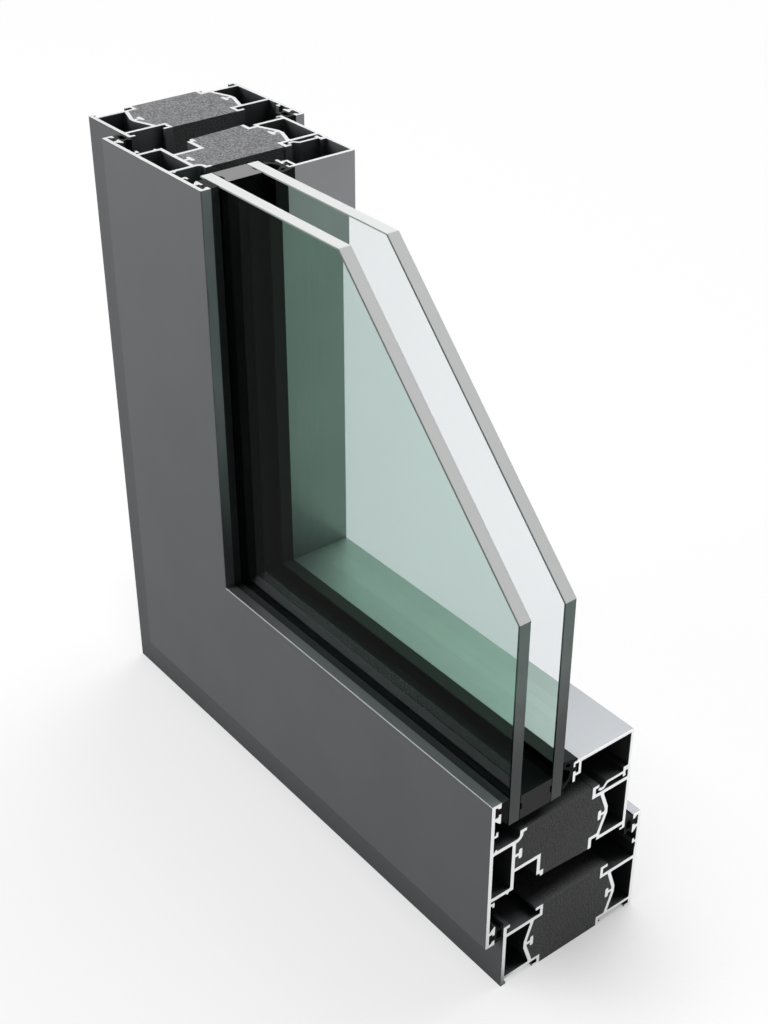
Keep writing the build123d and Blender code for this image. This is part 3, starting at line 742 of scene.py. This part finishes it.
@dataclass
class Profiles(ArmPair):
    """The coated shells of the sash with the glazing beads, and those of the frame in a darker copy of the
    coat, which is painted shade.

    Attributes:
        sill_nodes: Shells and bead of the sash on the sill's arm.
        jamb_nodes: The same on the jamb's arm.
        frame_shells: The frame's shells on each arm.
        coat: Finish of the sash and the beads.
        frame_coat_with_painted_shade: Finish of the frame: the coat made darker, as painted shade of the
            sash on the frame's face.
    """

    sill_nodes: tuple[str, ...] = ("sash_rail_outer", "sash_rail_inner", "bead_rail")
    jamb_nodes: tuple[str, ...] = ("sash_stile_outer", "sash_stile_inner", "bead_stile")
    frame_shells: ArmPair = field(default_factory=lambda: ArmPair(
        ("frame_sill_outer", "frame_sill_inner"), ("frame_jamb_outer", "frame_jamb_inner")))
    coat: PowderCoat = field(default_factory=PowderCoat)
    # The frame's darker copy of the coat is painted shade, standing in for the shade that the sash casts on
    # the frame's face.
    frame_coat_with_painted_shade: PowderCoat = field(default_factory=lambda: PowderCoat(
        "frame_painted_shade_coat", (0.338, 0.349, 0.366, 1.0)))

    def build(self) -> None:
        """Dresses the shells and beads."""
        self.dress_arms(self.coat)
        self.frame_shells.dress_arms(self.frame_coat_with_painted_shade)


@dataclass
class Cores:
    """The foam cores of frame and sash.

    Attributes:
        nodes: The four cores.
        foam: Their finish.
    """

    nodes: tuple[str, ...] = ("frame_sill_core", "frame_jamb_core", "sash_rail_core", "sash_stile_core")
    foam: InsulatingFoam = field(default_factory=InsulatingFoam)

    def build(self) -> None:
        """Dresses the four cores."""
        material = self.foam.material()
        for node in self.nodes:
            dress(node, material)


@dataclass
class GlassUnit(ArmPair):
    """The two panes with the spacer and sealant between them.

    Attributes:
        sill_nodes: The spacer on the sill's arm.
        jamb_nodes: The same on the jamb's arm.
        strips: The sealant strips on each arm.
        outer: Finish of the outer pane.
        inner: Finish of the inner pane.
        spacer: Finish of the spacer.
        sealant: Finish of the strips.
    """

    sill_nodes: tuple[str, ...] = ("spacer_rail",)
    jamb_nodes: tuple[str, ...] = ("spacer_stile",)
    strips: ArmPair = field(default_factory=lambda: ArmPair(
        ("outer_sealant_rail", "inner_sealant_rail"), ("outer_sealant_stile", "inner_sealant_stile")))
    outer: FloatGlass = field(default_factory=lambda: FloatGlass(tint=(0.73, 0.93, 0.825, 1.0)))
    inner: FloatGlass = field(default_factory=lambda: FloatGlass(tint=(0.80, 1.0, 0.89, 1.0)))
    spacer: MouldedBlack = field(default_factory=lambda: MouldedBlack(
        "spacer", (0.019, 0.0245, 0.0240, 1.0), grey(0.33), satin=0.6, index=1.35, shine=0.0))
    sealant: MouldedBlack = field(default_factory=lambda: MouldedBlack(
        "sealant", (0.045, 0.050, 0.048, 1.0), grey(0.02), satin=0.6, shine=0.0))

    def build(self) -> None:
        """Dresses the panes, the spacer and the four sealant strips."""
        dress(Pane.OUTER.value, self.outer.material(Pane.OUTER))
        dress(Pane.INNER.value, self.inner.material(Pane.INNER))
        self.dress_arms(self.spacer)
        self.strips.dress_arms(self.sealant)


@dataclass
class Rubbers(ArmPair):
    """Glazing gaskets, face seal and room side seal.

    Attributes:
        sill_nodes: The sheltered rubbers on the sill's arm.
        jamb_nodes: The same on the jamb's arm.
        weather_side: The outdoor gasket on each arm.
        rubber: Finish of the sheltered rubber.
        greyed: Finish of the outdoor gasket, a little greyer.
    """

    sill_nodes: tuple[str, ...] = ("inner_gasket_rail", "face_seal_rail", "room_seal_sill")
    jamb_nodes: tuple[str, ...] = ("inner_gasket_stile", "face_seal_stile", "room_seal_jamb")
    weather_side: ArmPair = field(default_factory=lambda: ArmPair(
        ("outer_gasket_rail",), ("outer_gasket_stile",)))
    rubber: MouldedBlack = field(default_factory=lambda: MouldedBlack(
        "rubber", (0.020, 0.023, 0.022, 1.0), grey(0.045), satin=0.55, index=1.42, shine=0.04))
    greyed: MouldedBlack = field(default_factory=lambda: MouldedBlack(
        "greyed_rubber", (0.085, 0.092, 0.096, 1.0), grey(0.045), satin=0.6, index=1.42, shine=0.04))

    def build(self) -> None:
        """Dresses the eight lengths of rubber."""
        self.dress_arms(self.rubber)
        self.weather_side.dress_arms(self.greyed)


@dataclass
class HiddenParts(ArmPair):
    """Setting blocks under the glass and cleats in the corner's chambers.

    Attributes:
        sill_nodes: The setting block on the sill's arm.
        jamb_nodes: The same on the jamb's arm.
        cleats: The four cleats.
        block: Finish of the blocks.
        metal: Finish of the cleats.
    """

    sill_nodes: tuple[str, ...] = ("setting_block_rail",)
    jamb_nodes: tuple[str, ...] = ("setting_block_stile",)
    cleats: tuple[str, ...] = (
        "frame_cleat_outer", "frame_cleat_inner", "sash_cleat_outer", "sash_cleat_inner")
    block: MouldedBlack = field(default_factory=lambda: MouldedBlack(
        "setting_block", grey(0.02), grey(0.02), satin=0.5))
    metal: MillAluminium = field(default_factory=MillAluminium)

    def build(self) -> None:
        """Dresses the blocks and the cleats."""
        self.dress_arms(self.block)
        material = self.metal.material()
        for node in self.cleats:
            dress(node, material)


@dataclass(frozen=True)
class SoftBox:
    """A soft light far off, painted on the sky.

    Attributes:
        toward: Direction in which it hangs, seen from the object.
        strength: Its brightness.
        inner: Angle from its middle up to which it has full brightness, in degrees.
        outer: Angle at which it has faded out, in degrees.
    """

    toward: Triple
    strength: float
    inner: float
    outer: float

    def glow(self, graph: Graph, direction: Socket) -> Socket:
        """Its brightness: strength times a smooth step on the cosine of the angle to its middle.

        Args:
            graph: The world's graph.
            direction: The direction looked in.

        Returns:
            The brightness.
        """
        middle = Vector(self.toward).normalized()
        dot = graph.node("ShaderNodeVectorMath", operation="DOT_PRODUCT")
        graph.feed(dot.inputs[0], direction)
        dot.inputs[1].default_value = tuple(middle)
        return graph.ramp(dot.outputs["Value"], math.cos(math.radians(self.outer)),
                          math.cos(math.radians(self.inner)), 0.0, self.strength)


@dataclass
class Studio:
    """The pale floor, the soft sky and the camera.

    Attributes:
        floor_reach: Radius of the floor.
        floor_grid: Number of its rings, and of the points on each.
        rim_start: Radius at which the floor begins to rise.
        rim_height: How high it rises.
        floor_albedo: How much light the floor gives back.
        floor_lift: What the floor adds for the eye, for gloss and through glass, so that it looks white.
        floor_bounce: How much light it gives back to matt surfaces.
        shade_reach: How far from the object its soft shade spreads on the floor.
        shade_rays: Number of directions tried for that shade.
        shade_depth: How much of the lift is gone in the deepest shade.
        shade_front: The same in front of the object, where the front lamp reaches in.
        front_span: Where, along Y, the front's shade turns into the deepest.
        shade_back: The same as the deepest behind the object.
        back_span: Where, along Y, the deepest shade turns into that behind.
        through_pane: Colour of the floor seen through one pane, a little rosy to offset the green glass.
        through_unit: The same through both panes.
        one_pane_depth: Up to how many passed surfaces a ray has been through one pane only.
        dark_from: Where, along Y, the floor in front of the object begins to look darker in gloss.
        dark_to: Where it is darkest in gloss, as behind a black flag.
        flag: How much of its gloss the flag takes away.
        side_gain: How much brighter the floor beside the sill's sawn end looks in gloss.
        side_fade: Over what length on either side of the cut that begins.
        sky_level: Colour of the sky for all but the eye, which sees it white.
        fill: Brightness of the whole sky for matt surfaces.
        behind_glass: What is left of the sky's light where it reaches a surface through glass.
        lights: The soft lights.
        lamp_place: Where the front lamp stands.
        lamp_size: Width of its square.
        lamp_power: Its power in watts.
        lamp_aim: The point that it faces.
        place: Where the camera stands.
        forward: Direction it looks in.
        roll: Its turn about that direction, in degrees.
        lens: Its focal length in millimetres.
        sensor: Width of its sensor in millimetres.
    """

    floor_reach: float = 6.0
    floor_grid: tuple[int, int] = (65, 96)
    rim_start: float = 2.2
    rim_height: float = 0.5
    floor_albedo: float = 0.2
    floor_lift: float = 0.815
    floor_bounce: float = 0.13
    shade_reach: float = 0.09
    shade_rays: int = 8
    shade_depth: float = 0.78
    shade_front: float = 0.13
    front_span: Span = (-0.045, 0.01)
    shade_back: float = 0.5
    back_span: Span = (0.02, 0.07)
    through_pane: Colour = (1.17, 0.92, 1.085, 1.0)
    through_unit: Colour = (1.11, 0.79, 1.015, 1.0)
    one_pane_depth: float = 2.5
    dark_from: float = -0.02
    dark_to: float = -0.034
    flag: float = 0.945
    side_gain: float = 1.2
    side_fade: float = 0.02
    sky_level: float = 0.8
    fill: float = 0.026
    behind_glass: float = 0.12
    lights: tuple[SoftBox, ...] = (
        SoftBox((-0.663, 0.52, 0.538), 0.72, 20.0, 40.0),
        SoftBox((-0.12, 0.66, 1.0), 7.15, 16.0, 28.0),
    )
    lamp_place: Triple = (-0.85, -1.15, 0.55)
    lamp_size: float = 0.8
    lamp_power: float = 11.4
    lamp_aim: Triple = (0.0, 0.0, 0.12)
    place: Triple = (0.4669, -0.3488, 0.5189)
    forward: Triple = (-0.663174, 0.520244, -0.538094)
    roll: float = 0.05
    lens: float = 56.38
    sensor: float = 36.0

    def seen_directly(self, graph: Graph) -> Socket:
        """1 for the eye, for gloss and through glass, 0 for the light that falls on matt surfaces.

        Args:
            graph: The graph of the floor or the world.

        Returns:
            The switch.
        """
        path = graph.node("ShaderNodeLightPath")
        shiny = graph.math("MAXIMUM", path.outputs["Is Glossy Ray"], path.outputs["Is Transmission Ray"])
        direct = graph.math("MAXIMUM", path.outputs["Is Camera Ray"], shiny)
        matt = graph.math("SUBTRACT", 1.0, path.outputs["Diffuse Depth"], clamp=True)
        return graph.times(direct, matt)

    def floor_mesh(self) -> bpy.types.Mesh:
        """The floor's sheet: round, level in the middle, rising softly to its rim.

        With t the share of the radius and a the angle, a point is at r = reach times t squared, turned by a,
        and as high as rim height times the smooth step of (r - rim start) / (reach - rim start). The least t
        is a ten-thousandth, so that the middle is a tiny ring, which one more face closes.

        Returns:
            The mesh.
        """
        rings, spokes = self.floor_grid
        turns = np.linspace(0.0, 2.0 * np.pi, spokes, endpoint=False)
        t, a = np.meshgrid(np.linspace(0.0, 1.0, rings), turns, indexing="ij")
        r = self.floor_reach * np.maximum(t, 1e-4) ** 2
        s = np.clip((r - self.rim_start) / (self.floor_reach - self.rim_start), 0.0, 1.0)
        points = np.stack((r * np.cos(a), r * np.sin(a), self.rim_height * s * s * (3.0 - 2.0 * s)), axis=-1)
        index = np.arange(rings * spokes).reshape(rings, spokes)
        turned = np.roll(index, -1, axis=1)
        faces = np.stack((index[:-1], index[1:], turned[1:], turned[:-1]), axis=-1).reshape(-1, 4)
        mesh = bpy.data.meshes.new("studio_floor")
        mesh.from_pydata(points.reshape(-1, 3).tolist(), [], faces.tolist() + [index[0].tolist()])
        mesh.shade_smooth()
        return mesh

    def floor_shade(self, graph: Graph, across: Socket) -> Socket:
        """How much of the floor's lift is gone near the object.

        Args:
            graph: The floor's graph.
            across: The place along Y.

        Returns:
            The share that is gone.
        """
        front = graph.ramp(across, *self.front_span, self.shade_front, self.shade_depth)
        back = graph.ramp(across, *self.back_span, self.shade_depth, self.shade_back)
        hidden = graph.rest(graph.openness(self.shade_reach, self.shade_rays))
        return graph.times(hidden, graph.math("MINIMUM", front, back))

    def floor_material(self) -> bpy.types.Material:
        """The floor's finish: matt, with a lift that only the eye, gloss and the glass see.

        Returns:
            The material.
        """
        made = bpy.data.materials.new("studio_floor")
        made.use_nodes = True
        graph = Graph(made.node_tree)
        path = graph.node("ShaderNodeLightPath")
        gloss = path.outputs["Is Glossy Ray"]
        place = graph.split(graph.place())
        flag = graph.times(gloss, graph.ramp(place["Y"], self.dark_to, self.dark_from, self.flag, 0.0))
        matt = graph.node("ShaderNodeBsdfDiffuse")
        bounced = graph.blend(
            path.outputs["Is Diffuse Ray"], grey(self.floor_albedo), grey(self.floor_bounce))
        graph.feed(matt.inputs["Color"], graph.blend(flag, bounced, grey(0.0)))
        lift = graph.node("ShaderNodeEmission")
        unit = graph.math("GREATER_THAN", path.outputs["Transmission Depth"], self.one_pane_depth)
        glazed = graph.blend(unit, self.through_pane, self.through_unit)
        graph.feed(lift.inputs["Color"], graph.blend(path.outputs["Is Transmission Ray"], grey(1.0), glazed))
        shown = graph.times(graph.rest(flag), graph.rest(self.floor_shade(graph, place["Y"])))
        beside = graph.ramp(
            place["X"], SILL_END - self.side_fade, SILL_END + self.side_fade, 1.0, self.side_gain)
        gain = graph.math("ADD", graph.times(gloss, graph.math("SUBTRACT", beside, 1.0)), 1.0)
        seen = graph.times(self.seen_directly(graph), graph.times(shown, gain))
        graph.feed(lift.inputs["Strength"], graph.times(seen, self.floor_lift))
        both = graph.node("ShaderNodeAddShader")
        graph.feed(both.inputs[0], matt.outputs[0])
        graph.feed(both.inputs[1], lift.outputs[0])
        output = graph.node("ShaderNodeOutputMaterial")
        graph.feed(output.inputs["Surface"], both.outputs[0])
        made.cycles.emission_sampling = "NONE"
        return made

    def floor(self) -> bpy.types.Object:
        """Lays the floor.

        Returns:
            The floor.
        """
        mesh = self.floor_mesh()
        made = bpy.data.objects.new("studio_floor", mesh)
        bpy.context.scene.collection.objects.link(made)
        made.data.materials.append(self.floor_material())
        LOG.info("studio floor laid, %d faces", len(mesh.polygons))
        return made

    def sky(self) -> None:
        """Lights the scene: a dim even sky with soft lights on it, and white where it is seen directly."""
        world = bpy.data.worlds.new("studio_sky")
        bpy.context.scene.world = world
        world.use_nodes = True
        graph = Graph(world.node_tree)
        direction = graph.node("ShaderNodeTexCoord").outputs["Generated"]
        level: object = self.fill
        for light in self.lights:
            level = graph.math("ADD", level, light.glow(graph, direction))
        white = graph.math("MAXIMUM", level, self.seen_directly(graph))
        path = graph.node("ShaderNodeLightPath")
        bounced = graph.math("ADD", path.outputs["Glossy Depth"], path.outputs["Diffuse Depth"], clamp=True)
        glazed = graph.times(bounced, path.outputs["Is Transmission Ray"])
        kept = graph.rest(graph.times(glazed, 1.0 - self.behind_glass))
        background = graph.node("ShaderNodeBackground")
        graph.feed(background.inputs["Color"], graph.blend(
            path.outputs["Is Camera Ray"], grey(self.sky_level), grey(1.0)))
        graph.feed(background.inputs["Strength"], graph.times(white, kept))
        output = graph.node("ShaderNodeOutputWorld")
        graph.feed(output.inputs["Surface"], background.outputs[0])
        LOG.info("studio sky with %d soft lights", len(self.lights))

    def front_lamp(self) -> bpy.types.Object:
        """Stands a square lamp in front of the object and turns it towards a point in it.

        Returns:
            The lamp.
        """
        light = bpy.data.lights.new("front_lamp", "AREA")
        light.size = self.lamp_size
        light.energy = self.lamp_power
        made = bpy.data.objects.new("front_lamp", light)
        bpy.context.scene.collection.objects.link(made)
        here = Vector(self.lamp_place)
        turn = (Vector(self.lamp_aim) - here).to_track_quat("-Z", "Y").to_matrix().to_4x4()
        made.matrix_world = Matrix.Translation(here) @ turn
        return made

    def camera(self) -> bpy.types.Object:
        """Sets up the camera at the photograph's viewing angle.

        Its axes are worked out from the direction it looks in: right is forward crossed with the vertical,
        up is right crossed with forward, and both are turned about forward by the roll.

        Returns:
            The camera.
        """
        lens = bpy.data.cameras.new("camera")
        lens.lens = self.lens
        lens.sensor_width = self.sensor
        made = bpy.data.objects.new("camera", lens)
        bpy.context.scene.collection.objects.link(made)
        ahead = Vector(self.forward).normalized()
        right = ahead.cross(Vector((0.0, 0.0, 1.0))).normalized()
        up = right.cross(ahead)
        turn = Matrix((right, up, -ahead)).transposed() @ Matrix.Rotation(math.radians(self.roll), 3, "Z")
        made.matrix_world = Matrix.Translation(Vector(self.place)) @ turn.to_4x4()
        bpy.context.scene.camera = made
        return made

    def build(self) -> None:
        """Lays the floor, lights the scene, sets up the camera and the plain view."""
        self.floor()
        self.sky()
        self.front_lamp()
        self.camera()
        bpy.context.scene.view_settings.view_transform = "Standard"


def main() -> None:
    """Builds the sample's sub-assemblies in order, then the studio around them."""
    logging.basicConfig(level=logging.INFO, format="%(name)s: %(message)s")
    for part in (Profiles(), Cores(), GlassUnit(), Rubbers(), HiddenParts(), Studio()):
        part.build()
        LOG.info("%s done", type(part).__name__)


if __name__ == "__main__":
    main()
